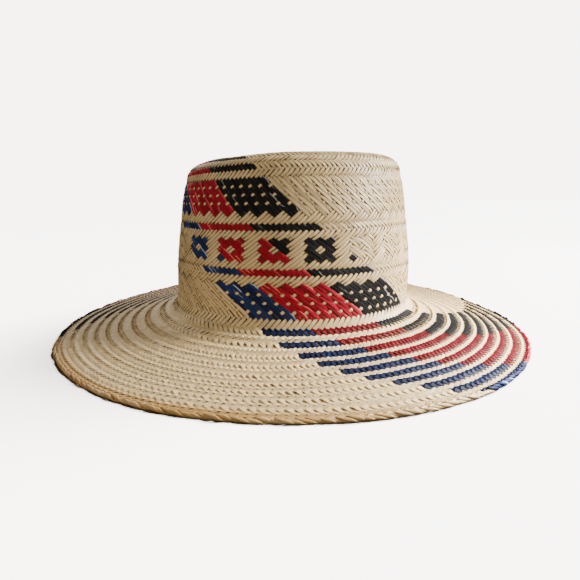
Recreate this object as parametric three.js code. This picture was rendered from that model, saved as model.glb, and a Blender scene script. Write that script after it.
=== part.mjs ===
// A plaited palm hat: crown and brim in one sheet of straw, and the turned edge round its rim.
// Millimetres, +Z up, front toward -Y. The hat stands by itself, on its rim, at z = 0.

import * as THREE from "three";
import { mergeVertices } from "three/addons/utils/BufferGeometryUtils.js";

// Driving sizes
const WALL = 2.0;
const RIM_RADIUS = 180;
const TOP_HEIGHT = 130.3;
const EDGE_WIDTH = 5.2;
const EDGE_THICKNESS = 3.2;
const GAP = 0.3;
const RIB_HEIGHT = 0.8;
const CROWN_LEAN = 0.016;
const AZIMUTH_STEPS = 56;

// The shoulder between the flat top and the side is a quarter of an ellipse.
const SHOULDER = { centre_radius: 66.5, foot_height: 117.6, reach: 15.3, steps: 5 };
const TOP_RINGS = [0, 18, 38, 55];

// Outer face of the crown's side, from the shoulder down to the bend into the brim
const SIDE_ROWS = [
  { radius: 83.3, height: 111.5 },
  { radius: 85, height: 103 },
  { radius: 87.1, height: 88 },
  { radius: 89.6, height: 70 },
  { radius: 91.6, height: 52 },
  { radius: 92.6, height: 37 },
  { radius: 93.2, height: 26.5 },
  { radius: 94.1, height: 22.3 },
];

// Upper face of the brim at the middle of each ring of slanting plait. A rib of the opposite
// slant lies halfway between two rings.
const BRIM_RINGS = [
  { ring: "a", radius: 97.0, height: 18.9 },
  { ring: "b", radius: 105.4, height: 14.9 },
  { ring: "c", radius: 117.4, height: 11.1 },
  { ring: "d", radius: 127.9, height: 8.9 },
  { ring: "e", radius: 138.2, height: 7.2 },
  { ring: "f", radius: 146.8, height: 5.9 },
  { ring: "g", radius: 155.3, height: 4.9 },
  { ring: "h", radius: 162.7, height: 4.2 },
  { ring: "i", radius: 170.2, height: 3.5 },
];

// How the hat departs from a round one. Azimuth is in degrees: 0 at the front, 90 at the
// wearer's left, which is +X. Between two rows the amount changes smoothly.
const SHOULDER_DROP = [
  { azimuth: -110, amount: 1.5 },
  { azimuth: -75, amount: 3.4 },
  { azimuth: -40, amount: 2.2 },
  { azimuth: 0, amount: 0.5 },
  { azimuth: 60, amount: 0 },
  { azimuth: 120, amount: 0 },
  { azimuth: 180, amount: 0.5 },
];
const BRIM_WAVE = [
  { azimuth: -90, amount: 0 },
  { azimuth: -45, amount: -0.4 },
  { azimuth: -12, amount: -0.6 },
  { azimuth: 12, amount: 1.6 },
  { azimuth: 28, amount: 2.7 },
  { azimuth: 48, amount: 2.2 },
  { azimuth: 75, amount: 1.0 },
  { azimuth: 110, amount: 0 },
  { azimuth: 180, amount: 0.5 },
];
const RIM_REACH = [
  { azimuth: -140, amount: -0.6 },
  { azimuth: -120, amount: -2 },
  { azimuth: -100, amount: -3 },
  { azimuth: -85, amount: -2 },
  { azimuth: -58, amount: 0.2 },
  { azimuth: -30, amount: 1.4 },
  { azimuth: 0, amount: 0.4 },
  { azimuth: 30, amount: 0.8 },
  { azimuth: 60, amount: -0.4 },
  { azimuth: 85, amount: -1.2 },
  { azimuth: 100, amount: -2.4 },
  { azimuth: 120, amount: -1.6 },
  { azimuth: 145, amount: 0 },
  { azimuth: 180, amount: 0 },
];
const CROWN_REACH = [
  { azimuth: -90, amount: 0.8 },
  { azimuth: 0, amount: 0 },
  { azimuth: 90, amount: 2 },
  { azimuth: 180, amount: 0 },
];
const RIM_LIFT = [
  { azimuth: -150, amount: 3 },
  { azimuth: -115, amount: 0 },
  { azimuth: 95, amount: 0 },
  { azimuth: 150, amount: 4.2 },
  { azimuth: 180, amount: 3.4 },
];

const straw = new THREE.MeshStandardMaterial({ color: 0xd3b98f, roughness: 0.72, metalness: 0 });
const goldenStraw = new THREE.MeshStandardMaterial({ color: 0xc9a26b, roughness: 0.68, metalness: 0 });

/** The amount that a table gives at an azimuth, eased between its rows and round the circle. */
function around(table, azimuth) {
  const turn = (degrees) => ((degrees % 360) + 360) % 360;
  const last = table.length - 1;
  const next = table.findIndex((row) => row.azimuth > azimuth);
  const to = table[next < 0 ? 0 : next];
  const from = table[next < 1 ? last : next - 1];
  const span = turn(to.azimuth - from.azimuth);
  const share = THREE.MathUtils.smoothstep(turn(azimuth - from.azimuth) / span, 0, 1);
  return THREE.MathUtils.lerp(from.amount, to.amount, share);
}

/** A share that runs from 0 at one value to 1 at another. */
function ramp(value, from, to) {
  return THREE.MathUtils.clamp((value - from) / (to - from), 0, 1);
}

/** Moves a point of the round hat to its place on the real one. */
function settle(point) {
  const radius = Math.hypot(point.x, point.y);
  const azimuth = THREE.MathUtils.radToDeg(Math.atan2(point.x, -point.y));
  const brim = ramp(radius, BRIM_RINGS[0].radius, RIM_RADIUS);
  const corner = ramp(radius, 30, 70) * ramp(point.z, 98, 124);
  const wave = Math.sin(Math.PI * ramp(radius, 96, RIM_RADIUS - 8)) * around(BRIM_WAVE, azimuth);
  const lean = CROWN_LEAN * ramp(point.z, 20, 80);
  const side = around(CROWN_REACH, azimuth) * ramp(point.z, 24, 50);
  const stretch = 1 + (around(RIM_REACH, azimuth) * brim + side) / Math.max(radius, 1);
  point.x *= stretch;
  point.y *= stretch;
  point.z += wave + lean * point.x + around(RIM_LIFT, azimuth) * brim - around(SHOULDER_DROP, azimuth) * corner;
  return point;
}

/** Turns a closed profile of radius and height round the hat's axis into one closed body. */
function turned(profile) {
  const lathe = new THREE.LatheGeometry(profile, AZIMUTH_STEPS);
  lathe.rotateX(Math.PI / 2);
  lathe.deleteAttribute("normal");
  lathe.deleteAttribute("uv");
  const places = lathe.attributes.position;
  for (let i = 0; i < places.count; i += 1) {
    const point = settle(new THREE.Vector3().fromBufferAttribute(places, i));
    places.setXYZ(i, point.x, point.y, point.z);
  }
  const welded = mergeVertices(lathe, 1e-3);
  const corners = welded.index.array;
  const kept = [];
  for (let i = 0; i < corners.length; i += 3) {
    const [a, b, c] = corners.slice(i, i + 3);
    if (a !== b && b !== c && c !== a) kept.push(a, b, c);
  }
  welded.setIndex(kept);
  welded.computeVertexNormals();
  return welded;
}

/** The crown's outer face: flat top, round shoulder and side. */
function crownFace() {
  const points = TOP_RINGS.map((radius) => new THREE.Vector2(radius, TOP_HEIGHT));
  const drop = TOP_HEIGHT - SHOULDER.foot_height;
  for (let i = SHOULDER.steps; i >= 0; i -= 1) {
    const angle = (i / SHOULDER.steps) * (Math.PI / 2);
    const radius = SHOULDER.centre_radius + SHOULDER.reach * Math.cos(angle);
    points.push(new THREE.Vector2(radius, SHOULDER.foot_height + drop * Math.sin(angle)));
  }
  for (const row of SIDE_ROWS) points.push(new THREE.Vector2(row.radius, row.height));
  return points;
}

/** The brim's upper face, ribbed: high along each ring and each rib between, low where they meet. */
function brimFace() {
  const rows = [...BRIM_RINGS, { radius: RIM_RADIUS - EDGE_WIDTH - GAP, height: 3.1 }];
  const curve = new THREE.SplineCurve(rows.map((row) => new THREE.Vector2(row.radius, row.height)));
  const quarters = (rows.length - 1) * 4;
  return Array.from({ length: quarters + 1 }, (_, i) => {
    const point = curve.getPoint(i / quarters);
    point.y += i % 2 ? -RIB_HEIGHT : 0;
    return point;
  });
}

/** The same sheet's inner face: the outer one moved in by the wall, with every second point. */
function innerFace(outer) {
  const smooth = outer.filter((_, i) => i % 2 === 0 || i === outer.length - 1);
  return smooth.map((point, i) => {
    const before = smooth[Math.max(i - 1, 0)];
    const after = smooth[Math.min(i + 1, smooth.length - 1)];
    const along = after.clone().sub(before).normalize();
    const inward = new THREE.Vector2(along.y, -along.x);
    const moved = point.clone().addScaledVector(inward, WALL);
    if (point.x === 0) moved.x = 0;
    return moved;
  });
}

/** Crown and brim, plaited in one piece and hollow for the head. */
function hatBody() {
  const outer = [...crownFace(), ...brimFace()];
  const profile = [...outer, ...innerFace(outer).reverse()];
  return turned(profile.reverse());
}

/** The turned edge: the strand ends folded under and tucked, flat where the hat rests. */
function edgeBorder() {
  const inside = RIM_RADIUS - EDGE_WIDTH;
  const middle = RIM_RADIUS - EDGE_WIDTH / 2;
  const section = [
    [inside + 0.6, 0],
    [RIM_RADIUS - 0.9, 0],
    [RIM_RADIUS, 0.8],
    [RIM_RADIUS - 0.1, 1.9],
    [RIM_RADIUS - 1.1, EDGE_THICKNESS - 0.5],
    [middle, EDGE_THICKNESS],
    [inside + 0.4, EDGE_THICKNESS - 0.3],
    [inside, EDGE_THICKNESS / 2],
    [inside + 0.6, 0],
  ];
  return turned(section.map(([radius, height]) => new THREE.Vector2(radius, height)));
}

/** Moves the pieces so that the origin is the middle of the hat's outline. */
function centre(group) {
  const middle = new THREE.Box3().setFromObject(group).getCenter(new THREE.Vector3());
  for (const mesh of group.children) mesh.geometry.translate(-middle.x, -middle.y, 0);
}

const hat = new THREE.Group();
hat.name = "palm_hat";
for (const [name, shape, material] of [
  ["hat_body", hatBody, straw],
  ["edge_border", edgeBorder, goldenStraw],
]) {
  const mesh = new THREE.Mesh(shape(), material);
  mesh.name = name;
  hat.add(mesh);
}
centre(hat);

export default hat;
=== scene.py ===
"""A plaited palm hat: its slanting straws one by one, its dyed patterns and its turned edge.

Lengths in the tables are millimetres and azimuths are degrees: 0 at the front, 90 at +X.
"""

import math

import bpy
import numpy as np
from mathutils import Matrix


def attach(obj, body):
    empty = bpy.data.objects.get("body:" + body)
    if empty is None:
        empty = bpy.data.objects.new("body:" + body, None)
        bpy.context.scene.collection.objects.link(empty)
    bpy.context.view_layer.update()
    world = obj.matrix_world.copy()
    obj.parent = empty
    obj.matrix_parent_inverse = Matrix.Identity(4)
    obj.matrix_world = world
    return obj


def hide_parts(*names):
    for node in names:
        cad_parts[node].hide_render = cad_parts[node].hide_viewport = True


bl_info = {
    "name": "Plaited Palm Hat",
    "version": (1, 0, 0),
    "blender": (4, 5, 0),
    "location": "3D View > Sidebar > Palm Hat",
    "description": "Plaits a palm hat over its CAD frame and lights it",
    "category": "Add Mesh",
}

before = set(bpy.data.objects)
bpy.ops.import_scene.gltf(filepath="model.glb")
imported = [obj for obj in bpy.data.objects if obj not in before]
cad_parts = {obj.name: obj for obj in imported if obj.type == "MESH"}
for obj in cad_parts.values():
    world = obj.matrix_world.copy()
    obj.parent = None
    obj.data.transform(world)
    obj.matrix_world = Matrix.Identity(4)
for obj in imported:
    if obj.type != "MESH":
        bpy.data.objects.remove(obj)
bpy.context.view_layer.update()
MM = 0.001

# The round hat's outer face, as the part's source gives it
TOP_HEIGHT = 130.3
TOP_RINGS = (0.0, 20.0, 40.0, 52.0)
SHOULDER = {"centre_radius": 66.5, "foot_height": 117.6, "reach": 15.3, "steps": 16}
SIDE_ROWS = [
    {"radius": 83.3, "height": 111.5},
    {"radius": 85.0, "height": 103.0},
    {"radius": 87.1, "height": 88.0},
    {"radius": 89.6, "height": 70.0},
    {"radius": 91.6, "height": 52.0},
    {"radius": 92.6, "height": 37.0},
    {"radius": 93.2, "height": 26.5},
    {"radius": 94.1, "height": 22.3},
]
BRIM_ROWS = [
    {"radius": 97.0, "height": 18.9},
    {"radius": 105.4, "height": 14.9},
    {"radius": 117.4, "height": 11.1},
    {"radius": 127.9, "height": 8.9},
    {"radius": 138.2, "height": 7.2},
    {"radius": 146.8, "height": 5.9},
    {"radius": 155.3, "height": 4.9},
    {"radius": 162.7, "height": 4.2},
    {"radius": 170.2, "height": 3.5},
    {"radius": 174.5, "height": 3.1},
    {"radius": 177.3, "height": 2.8},
    {"radius": 180.0, "height": 1.8},
]
RIM_RADIUS = 180.0
RIM_CORNER_HEIGHT = 0.8
RIM_CORNERS = 56
CROWN_LEAN = 0.016

# How the hat departs from a round one
SHOULDER_DROP = [
    {"azimuth": -110, "amount": 1.5},
    {"azimuth": -75, "amount": 3.4},
    {"azimuth": -40, "amount": 2.2},
    {"azimuth": 0, "amount": 0.5},
    {"azimuth": 60, "amount": 0.0},
    {"azimuth": 120, "amount": 0.0},
    {"azimuth": 180, "amount": 0.5},
]
BRIM_WAVE = [
    {"azimuth": -90, "amount": 0.0},
    {"azimuth": -45, "amount": -0.4},
    {"azimuth": -12, "amount": -0.6},
    {"azimuth": 12, "amount": 1.6},
    {"azimuth": 28, "amount": 2.7},
    {"azimuth": 48, "amount": 2.2},
    {"azimuth": 75, "amount": 1.0},
    {"azimuth": 110, "amount": 0.0},
    {"azimuth": 180, "amount": 0.5},
]
RIM_REACH = [
    {"azimuth": -140, "amount": -0.6},
    {"azimuth": -120, "amount": -2.0},
    {"azimuth": -100, "amount": -3.0},
    {"azimuth": -85, "amount": -2.0},
    {"azimuth": -58, "amount": 0.2},
    {"azimuth": -30, "amount": 1.4},
    {"azimuth": 0, "amount": 0.4},
    {"azimuth": 30, "amount": 0.8},
    {"azimuth": 60, "amount": -0.4},
    {"azimuth": 85, "amount": -1.2},
    {"azimuth": 100, "amount": -2.4},
    {"azimuth": 120, "amount": -1.6},
    {"azimuth": 145, "amount": 0.0},
    {"azimuth": 180, "amount": 0.0},
]
CROWN_REACH = [
    {"azimuth": -90, "amount": 0.8},
    {"azimuth": 0, "amount": 0.0},
    {"azimuth": 90, "amount": 2.0},
    {"azimuth": 180, "amount": 0.0},
]
RIM_LIFT = [
    {"azimuth": -150, "amount": 3.0},
    {"azimuth": -115, "amount": 0.0},
    {"azimuth": 95, "amount": 0.0},
    {"azimuth": 150, "amount": 4.2},
    {"azimuth": 180, "amount": 3.4},
]

# The spans of radius or of height over which each departure sets in
CORNER_RADII = (30, 70)
CORNER_HEIGHTS = (98, 124)
WAVE_RADII = (96, RIM_RADIUS - 8)
LEAN_HEIGHTS = (20, 80)
SIDE_HEIGHTS = (24, 50)

# How far the plait is pulled round, in degrees, and the levels over which the pull grows
CROWN_PULL = [
    {"azimuth": -160, "amount": 0.0},
    {"azimuth": -100, "amount": 2.2},
    {"azimuth": -52, "amount": 4.8},
    {"azimuth": -12, "amount": 2.2},
    {"azimuth": 40, "amount": 0.0},
]
PULL_LEVELS = (-6, -20)

# How much wider, in levels, the brim's rings of falling straws are than those of rising ones
RING_EXCESS = [
    {"azimuth": -160, "amount": 0.1},
    {"azimuth": -115, "amount": -0.3},
    {"azimuth": -60, "amount": -0.3},
    {"azimuth": -12, "amount": 0.1},
    {"azimuth": 12, "amount": 0.26},
    {"azimuth": 130, "amount": 0.26},
]
# The levels over which that difference sets in and ends
EXCESS_IN_LEVELS = (47, 53)
EXCESS_OUT_LEVELS = (101, 98)

# How far along the outer face, from the top's centre, each level of the plait lies. A level is
# one row of crossings, counted down the hat from the middle of the crown's side.
LEVEL_ROWS = [
    {"level": -72.5, "along": 2.0},
    {"level": -66.5, "along": 10.5},
    {"level": -57.5, "along": 26.5},
    {"level": -39.5, "along": 61.5},
    {"level": -29.5, "along": 76.8},
    {"level": -20.5, "along": 92.2},
    {"level": -17, "along": 97.9},
    {"level": -9, "along": 109.3},
    {"level": 1, "along": 124.2},
    {"level": 21, "along": 152.8},
    {"level": 31, "along": 166.9},
    {"level": 39, "along": 178.2},
    {"level": 46, "along": 190.7},
    {"level": 52, "along": 201.9},
    {"level": 58, "along": 213.7},
    {"level": 64, "along": 223.7},
    {"level": 70, "along": 233.4},
    {"level": 76, "along": 241.8},
    {"level": 82, "along": 249.3},
    {"level": 88, "along": 257.1},
    {"level": 94, "along": 265.1},
    {"level": 100, "along": 272.2},
    {"level": 104, "along": 276.4},
]

# A ring of straws that slant one way takes three levels. The brim's rings are raised ribs,
# and the plait's middle lies this deep under the outer face.
RING_LEVELS = 3
RING_MIDDLE = 46
RIB_START = 43
SHEET_DEPTH = 0.75

# The plait's rounds. Each has as many falling straws as rising ones. The dyed falling straws
# lie blue, red and black side by side, twice round the hat. Share is how much of its lane a
# straw fills, slit how much of the lane it leaves open at a crossing, and depth how high it
# lies over.
CROWN_SIDE = {
    "straws": 152, "turn": -46.8, "first": -41, "last": 54,
    "dye_start": -8, "blue": 8, "red": 12, "black": 12, "share": 1.0, "slit": 0.22, "depth": 0.95,
}
BRIM = {
    "straws": 240, "turn": -40.5, "first": 52, "last": 102,
    "dye_start": -1, "blue": 13, "red": 19, "black": 19, "share": 1.02, "slit": 0.0, "depth": 0.72,
}
# The top's rounds halve their straws towards the centre, and lie alike.
TOP_LIE = {"share": 1.02, "slit": 0.12, "depth": 1.0}
TOP_ROUNDS = [
    {"straws": 76, "first": -59, "last": -39,
     "dye_start": -4, "blue": 4, "red": 6, "black": 6, **TOP_LIE},
    {"straws": 38, "first": -68, "last": -57,
     "dye_start": -2, "blue": 2, "red": 3, "black": 3, **TOP_LIE},
    {"straws": 19, "first": -73, "last": -66,
     "dye_start": -1, "blue": 1, "red": 1.5, "black": 1.5, **TOP_LIE},
]
CROWN_SEAM = 90
CROWN_SEEDS = {"falling": 11, "rising": 12}
BRIM_SEEDS = {"falling": 21, "rising": 22}
TOP_SEED = 30
DYE_REPEATS = 2
NATURAL, BLUE, RED, BLACK = 0, 1, 2, 3

# The crown's dyed patterns, by level: two bands of three rows of dots, two lines between them,
# and rings at the shoulder and the foot. The upper band ends in a zigzag and the lower starts
# with one.
UPPER_BAND = {"head": -20, "foot": -6, "dots": (-17, -13, -9), "first_dot": 1}
LOWER_BAND = {"head": 28, "foot": 41, "dots": (31, 35, 39), "first_dot": 0}
ZIGZAG_STRAWS = 3
LINE_HEADS = (0, 20)
SHOULDER_RINGS = {"start": -32, "foot": -23}
RINGS_START = 45

# The row of hollow figures between the lines, and how far from a figure's middle, across and
# down, its falling straws lie over
FIGURES = {"start": 3, "pitch": 8, "level": 11, "reach": 8}
FIGURE_ROWS = [
    {"across": (0, 1), "down": (1, 5)},
    {"across": (1, 3), "down": (0, 3)},
    {"across": (3, 5), "down": (0, 1)},
]

# How a straw lies, in millimetres and shares. Where it stays over or under for three levels it
# arches, where it comes up for one alone it rises, and its ends are tucked in.
ARCH_RISE = 0.08
LONE_RISE = 0.12
BRIM_START = 53
BRIM_RISE = 1.3
TUCKS = {"first": 0.7, "second": 0.1, "next_to_last": 0.3, "last": 0.9}
RIM_RISE = 0.75
RIM_RISE_LEVELS = (99, 102)
# How far a straw strays from its lane, as a share of it, and how far it is held back
WANDER = 0.025
WANDER_HOLD = 0.5
# A slit is its plait's own by a share from least to most. A few are wide. They are small where
# a straw comes up alone and on the brim, and larger where it lies under.
SLITS = {"least": 0.5, "most": 1.4, "wide": 0.22, "wide_chance": 0.02, "lone": 0.1, "under": 1.3}
BRIM_SLITS = {"past": 42, "share": 0.5}
# How much wider the straws are past a level of the brim
GIRTHS = {
    "falling": {"past": 53, "over": 1.3, "under": 1.2},
    "rising": {"past": 43, "over": 1.08, "under": 1.2},
}
GIRTH_SPREAD = 0.01
TILT_SPREAD = 0.07
TILT_WITH_WANDER = 0.8
# Near the rim the straws narrow, lie flat and turn golden.
NARROW_LEVELS = (102, 98)
NARROW_SHARE = 0.7
GOLDEN_LEVELS = (95, 98)
# The spread of the straws' tints, and the share of it that is left where dyed straws are darker: on
# the brim, as painted shade under the strong light there, in the lower band, and in the blue of the
# upper one, as painted shade
TINT = {"middle": 0.5, "spread": 0.2}
BRIM_DYE_SHADE = {"past": 43, "share": 0.1}
DARKER_BANDS = {"past": 25, "share": 0.55}
SHADED_BLUE_LEVEL = 3

# The way of a straw end round the rim: over it, down, and back under the brim
FOLD_ROWS = [
    {"radius": 178.2, "height": 2.1, "turn": -1.1},
    {"radius": 178.9, "height": 2.5, "turn": -0.7},
    {"radius": 179.6, "height": 2.1, "turn": -0.2},
    {"radius": 179.95, "height": 1.4, "turn": 0.3},
    {"radius": 179.8, "height": 0.7, "turn": 0.8},
    {"radius": 179.2, "height": 0.4, "turn": 1.2},
    {"radius": 177.8, "height": 0.34, "turn": 1.7},
    {"radius": 176.0, "height": 0.36, "turn": 2.3},
    {"radius": 174.9, "height": 0.9, "turn": 2.6},
]
FOLD_WIDTH = 5.2

# The turned edge's core, which the folded ends cover
CORE_ROWS = [
    {"radius": 175.2, "height": 0.5},
    {"radius": 178.4, "height": 0.5},
    {"radius": 179.3, "height": 1.1},
    {"radius": 178.9, "height": 1.9},
    {"radius": 177.6, "height": 2.0},
    {"radius": 175.2, "height": 1.9},
]
CORE_STEPS = 240

# A folded end's section: how far across it each corner lies, and how far out
FOLD_SECTION = [
    {"across": -0.5, "rise": 0.0},
    {"across": -0.25, "rise": 0.22},
    {"across": 0.25, "rise": 0.22},
    {"across": 0.5, "rise": 0.0},
    {"across": 0.25, "rise": -0.16},
    {"across": -0.25, "rise": -0.16},
]
FOLD_OVERLAP = 0.12
# Each folded end is scaled by chance between these, and strays from its place.
FOLD_LEAST = (0.997, 0.997, 0.8)
FOLD_MOST = (1.003, 1.002, 1.25)
FOLD_STRAY = 0.35
FOLD_SEEDS = {"stray": 5, "tint": 9, "size": 14}

# Where the turned edge is golden: at the front and the left, paling towards the right
GOLDEN_ROUND = [
    {"azimuth": -170, "amount": 0.4},
    {"azimuth": -70, "amount": 0.95},
    {"azimuth": -20, "amount": 1.0},
    {"azimuth": 5, "amount": 0.9},
    {"azimuth": 35, "amount": 0.25},
    {"azimuth": 90, "amount": 0.1},
]
# How the gold comes and goes round the rim, in two ripples of the azimuth
GILT = {"middle": 0.8, "swing": 0.3, "fast": 0.41, "slow": 0.17, "start": 2}

# The knot at the top's centre
KNOT = {
    "straws": 6, "points": 9, "turn": 0.3, "reach": 6.5, "width": 2.6,
    "layer": 0.28, "depth": 0.4, "droop": 1.1, "tint": 0.2, "tint_step": 0.1,
}
# A straw's section is a flattened hexagon, whose four inner corners are moved outward.
SECTION = {"corners": 6, "radius": 0.5, "inner_reach": 0.25, "widening": 1.68}
CREASE_ANGLE = 0.42
# The sheet inside the plait, and its colour as shares of the straw's: painted shade for the slits
SHEET = {
    "first": -72.4, "last": 99, "crown_step": 2.4, "brim_step": 0.75,
    "corners": 180, "half_thickness": 0.04,
}
SHADE = {
    "light": 0.2, "dark": 0.1, "foot": 14, "head": 30,
    "grain": 600, "roughness": 0.9, "gloss": 0.1,
}

# The finishes. Deep and pale are shares of the colour; edge is the painted shade at a natural straw's
# sides and, on a dyed straw, the colour of its undyed lines, which also serve as painted highlights.
# Refraction sets how strongly it shines.
DYES = (
    {"colour": "natural", "dyed": False, "deep": 0.62, "pale": 1.3,
     "edge": (0.2, 0.13, 0.06), "refraction": 1.4},
    {"colour": "blue", "dyed": True, "deep": 0.16, "pale": 1.6,
     "edge": (0.34, 0.37, 0.46), "refraction": 1.18},
    {"colour": "red", "dyed": True, "deep": 0.13, "pale": 1.15,
     "edge": (0.6, 0.13, 0.1), "refraction": 1.16},
    {"colour": "black", "dyed": True, "deep": 0.35, "pale": 2.2,
     "edge": (0.21, 0.21, 0.2), "refraction": 1.15},
)
# The streaks along a straw, the paler patches, and how far a straw's own tint counts
GRAIN = {"stretch": (7, 90, 1), "detail": 3, "deep": 0.3, "plain": 0.62}
BLOTCH = {"stretch": (0.8, 60, 1), "detail": 2, "plain": 0.52, "pale": 0.78, "share": 0.6}
TINT_SPACING = 37
OWN_TINT = 0.3
DEEP_TINT = 0.4
# Undyed lines, which also serve as painted highlights, show on one side of a dyed straw, in patches,
# and on few straws.
UNDYED_AND_HIGHLIGHT = {"side": (0.17, 0.22), "patch": (0.5, 0.53), "few": (0.5, 0.56)}
# Painted shade: both sides of a natural straw are darker, as the shade between straws, on the crown
# more than on the brim.
PAINTED_SIDE_SHADE = {"away": (0.27, 0.43), "heights": (14, 26), "strength": (0.12, 0.75)}
GOLDEN_SHARES = (0.8, 1.15)
ROUGH_GRAIN = (0.3, 0.7)
NATURAL_FINISH = {"roughness": (0.58, 0.4), "anisotropy": 0.4}
DYED_FINISH = {"roughness": (0.75, 0.5), "anisotropy": 0.3}
BUMP = {"strength": 0.35, "distance": 0.1, "rounding": -1.8}


def around(table, azimuth):
    """The amount that a table gives at each azimuth, eased between its rows and round the circle."""
    marks = np.array([row["azimuth"] for row in table], float)
    amounts = np.array([row["amount"] for row in table], float)
    marks = np.concatenate([marks - 360, marks, marks + 360])
    amounts = np.tile(amounts, 3)
    k = np.clip(np.searchsorted(marks, azimuth, side="right") - 1, 0, len(marks) - 2)
    share = (azimuth - marks[k]) / (marks[k + 1] - marks[k])
    share = share * share * (3 - 2 * share)
    return amounts[k] + (amounts[k + 1] - amounts[k]) * share


def ramp(value, start, end):
    """A share that runs from 0 at one value to 1 at another."""
    return np.clip((value - start) / (end - start), 0, 1)


def eased(marks, amounts, value):
    """A smooth curve through a table's rows, read at each value."""
    slopes = np.gradient(amounts, marks)
    value = np.clip(value, marks[0], marks[-1])
    k = np.clip(np.searchsorted(marks, value, side="right") - 1, 0, len(marks) - 2)
    step = marks[k + 1] - marks[k]
    t = (value - marks[k]) / step
    start = (2 * t**3 - 3 * t**2 + 1) * amounts[k] + (t**3 - 2 * t**2 + t) * step * slopes[k]
    end = (3 * t**2 - 2 * t**3) * amounts[k + 1] + (t**3 - t**2) * step * slopes[k + 1]
    return start + end


def settle(points):
    """Moves points of the round hat to their places on the real one."""
    x, y, z = np.moveaxis(points, -1, 0)
    radius = np.hypot(x, y)
    azimuth = np.degrees(np.arctan2(x, -y))
    brim = ramp(radius, BRIM_ROWS[0]["radius"], RIM_RADIUS)
    corner = ramp(radius, *CORNER_RADII) * ramp(z, *CORNER_HEIGHTS)
    wave = np.sin(np.pi * ramp(radius, *WAVE_RADII)) * around(BRIM_WAVE, azimuth)
    lean = CROWN_LEAN * ramp(z, *LEAN_HEIGHTS)
    side = around(CROWN_REACH, azimuth) * ramp(z, *SIDE_HEIGHTS)
    reach = around(RIM_REACH, azimuth) * brim + side
    stretch = 1 + reach / np.maximum(radius, 1)
    x = x * stretch
    y = y * stretch
    lift = around(RIM_LIFT, azimuth) * brim
    z = z + wave + lean * x + lift - around(SHOULDER_DROP, azimuth) * corner
    return np.stack([x, y, z], -1)


def outer_profile():
    """Distance along the outer face from the top's centre, with the radius and height there."""
    drop = TOP_HEIGHT - SHOULDER["foot_height"]
    angles = np.linspace(math.pi / 2, 0, SHOULDER["steps"] + 1)
    points = [(radius, TOP_HEIGHT) for radius in TOP_RINGS]
    for angle in angles:
        radius = SHOULDER["centre_radius"] + SHOULDER["reach"] * math.cos(angle)
        points.append((radius, SHOULDER["foot_height"] + drop * math.sin(angle)))
    points += [(row["radius"], row["height"]) for row in SIDE_ROWS + BRIM_ROWS]
    points = np.array(points)
    steps = np.hypot(*np.diff(points, axis=0).T)
    return np.concatenate([[0], np.cumsum(steps)]), points[:, 0], points[:, 1]


PROFILE_ALONG, PROFILE_RADIUS, PROFILE_HEIGHT = outer_profile()
LEVELS = np.array([row["level"] for row in LEVEL_ROWS], float)
LEVEL_ALONG = np.array([row["along"] for row in LEVEL_ROWS], float)


def hat_middle():
    """How far the settled rim's middle lies from the round hat's axis."""
    azimuth = np.radians(np.arange(RIM_CORNERS) * 360 / RIM_CORNERS)
    height = np.full(RIM_CORNERS, RIM_CORNER_HEIGHT)
    rim = np.stack([RIM_RADIUS * np.sin(azimuth), -RIM_RADIUS * np.cos(azimuth), height], -1)
    rim = settle(rim)[:, :2]
    return (rim.min(0) + rim.max(0)) / 2


SHIFT = np.array([*(-hat_middle()), 0.0])


def half_turned(azimuth):
    """The same azimuth between -180 and 180 degrees."""
    return (azimuth + 180) % 360 - 180


def on_face(level, azimuth, lift):
    """Points at a level and azimuth of the plait, lifted off the outer face, in millimetres."""
    excess = around(RING_EXCESS, half_turned(azimuth))
    wide = excess * ramp(level, *EXCESS_IN_LEVELS) * ramp(level, *EXCESS_OUT_LEVELS)
    within = np.sin(np.pi * (level - RING_MIDDLE) / RING_LEVELS)
    along = eased(LEVELS, LEVEL_ALONG, level + wide * within)
    radius = eased(PROFILE_ALONG, PROFILE_RADIUS, along)
    height = eased(PROFILE_ALONG, PROFILE_HEIGHT, along)
    margin = 0.5
    step = 0.4
    ahead = np.clip(along, margin, PROFILE_ALONG[-1] - margin) + step
    behind = ahead - 2 * step
    run = eased(PROFILE_ALONG, PROFILE_RADIUS, ahead) - eased(PROFILE_ALONG, PROFILE_RADIUS, behind)
    fall = eased(PROFILE_ALONG, PROFILE_HEIGHT, ahead) - eased(PROFILE_ALONG, PROFILE_HEIGHT, behind)
    size = np.hypot(run, fall)
    radius = radius - lift * fall / size
    height = height + lift * run / size
    turn = np.radians(azimuth)
    return settle(np.stack([radius * np.sin(turn), -radius * np.cos(turn), height], -1)) + SHIFT


def rib_lift(level, rib_height):
    """How far the sheet's middle lies under the outer face, lower between the brim's rings."""
    rib = np.cos(2 * np.pi * (level - RING_MIDDLE) / RING_LEVELS) - 1
    return -SHEET_DEPTH + np.where(level > RIB_START, rib, 0) * rib_height / MM / 2


def ring_over(level, start):
    """Whether a falling straw lies over, in rings of three levels over and three under."""
    return (level - start) % (2 * RING_LEVELS) < RING_LEVELS


def in_span(value, span):
    """Whether a value lies from the start of a span up to its end."""
    return (value >= span[0]) & (value < span[1])


def figure_over(straw, level):
    """Whether a falling straw lies over in the row of small hollow figures round the crown."""
    pitch = FIGURES["pitch"]
    middle = straw + 0.5
    nearest = FIGURES["start"] + pitch * np.round((middle - FIGURES["start"]) / pitch)
    over = np.zeros(straw.shape, bool)
    for centre in (nearest - pitch, nearest, nearest + pitch):
        across = np.abs(centre - middle)
        down = np.abs(middle + level - centre - FIGURES["level"])
        for row in FIGURE_ROWS:
            over |= in_span(across, row["across"]) & in_span(down, row["down"])
    return over & (np.abs(level - FIGURES["level"]) < FIGURES["reach"])


def dotted(straw, level, band):
    """Whether a band's falling straw dives under one rising straw and leaves a dot."""
    under = np.zeros(straw.shape, bool)
    for number, row in enumerate(band["dots"], band["first_dot"]):
        under |= (level == row) & (straw % 2 == number % 2)
    return under


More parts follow.
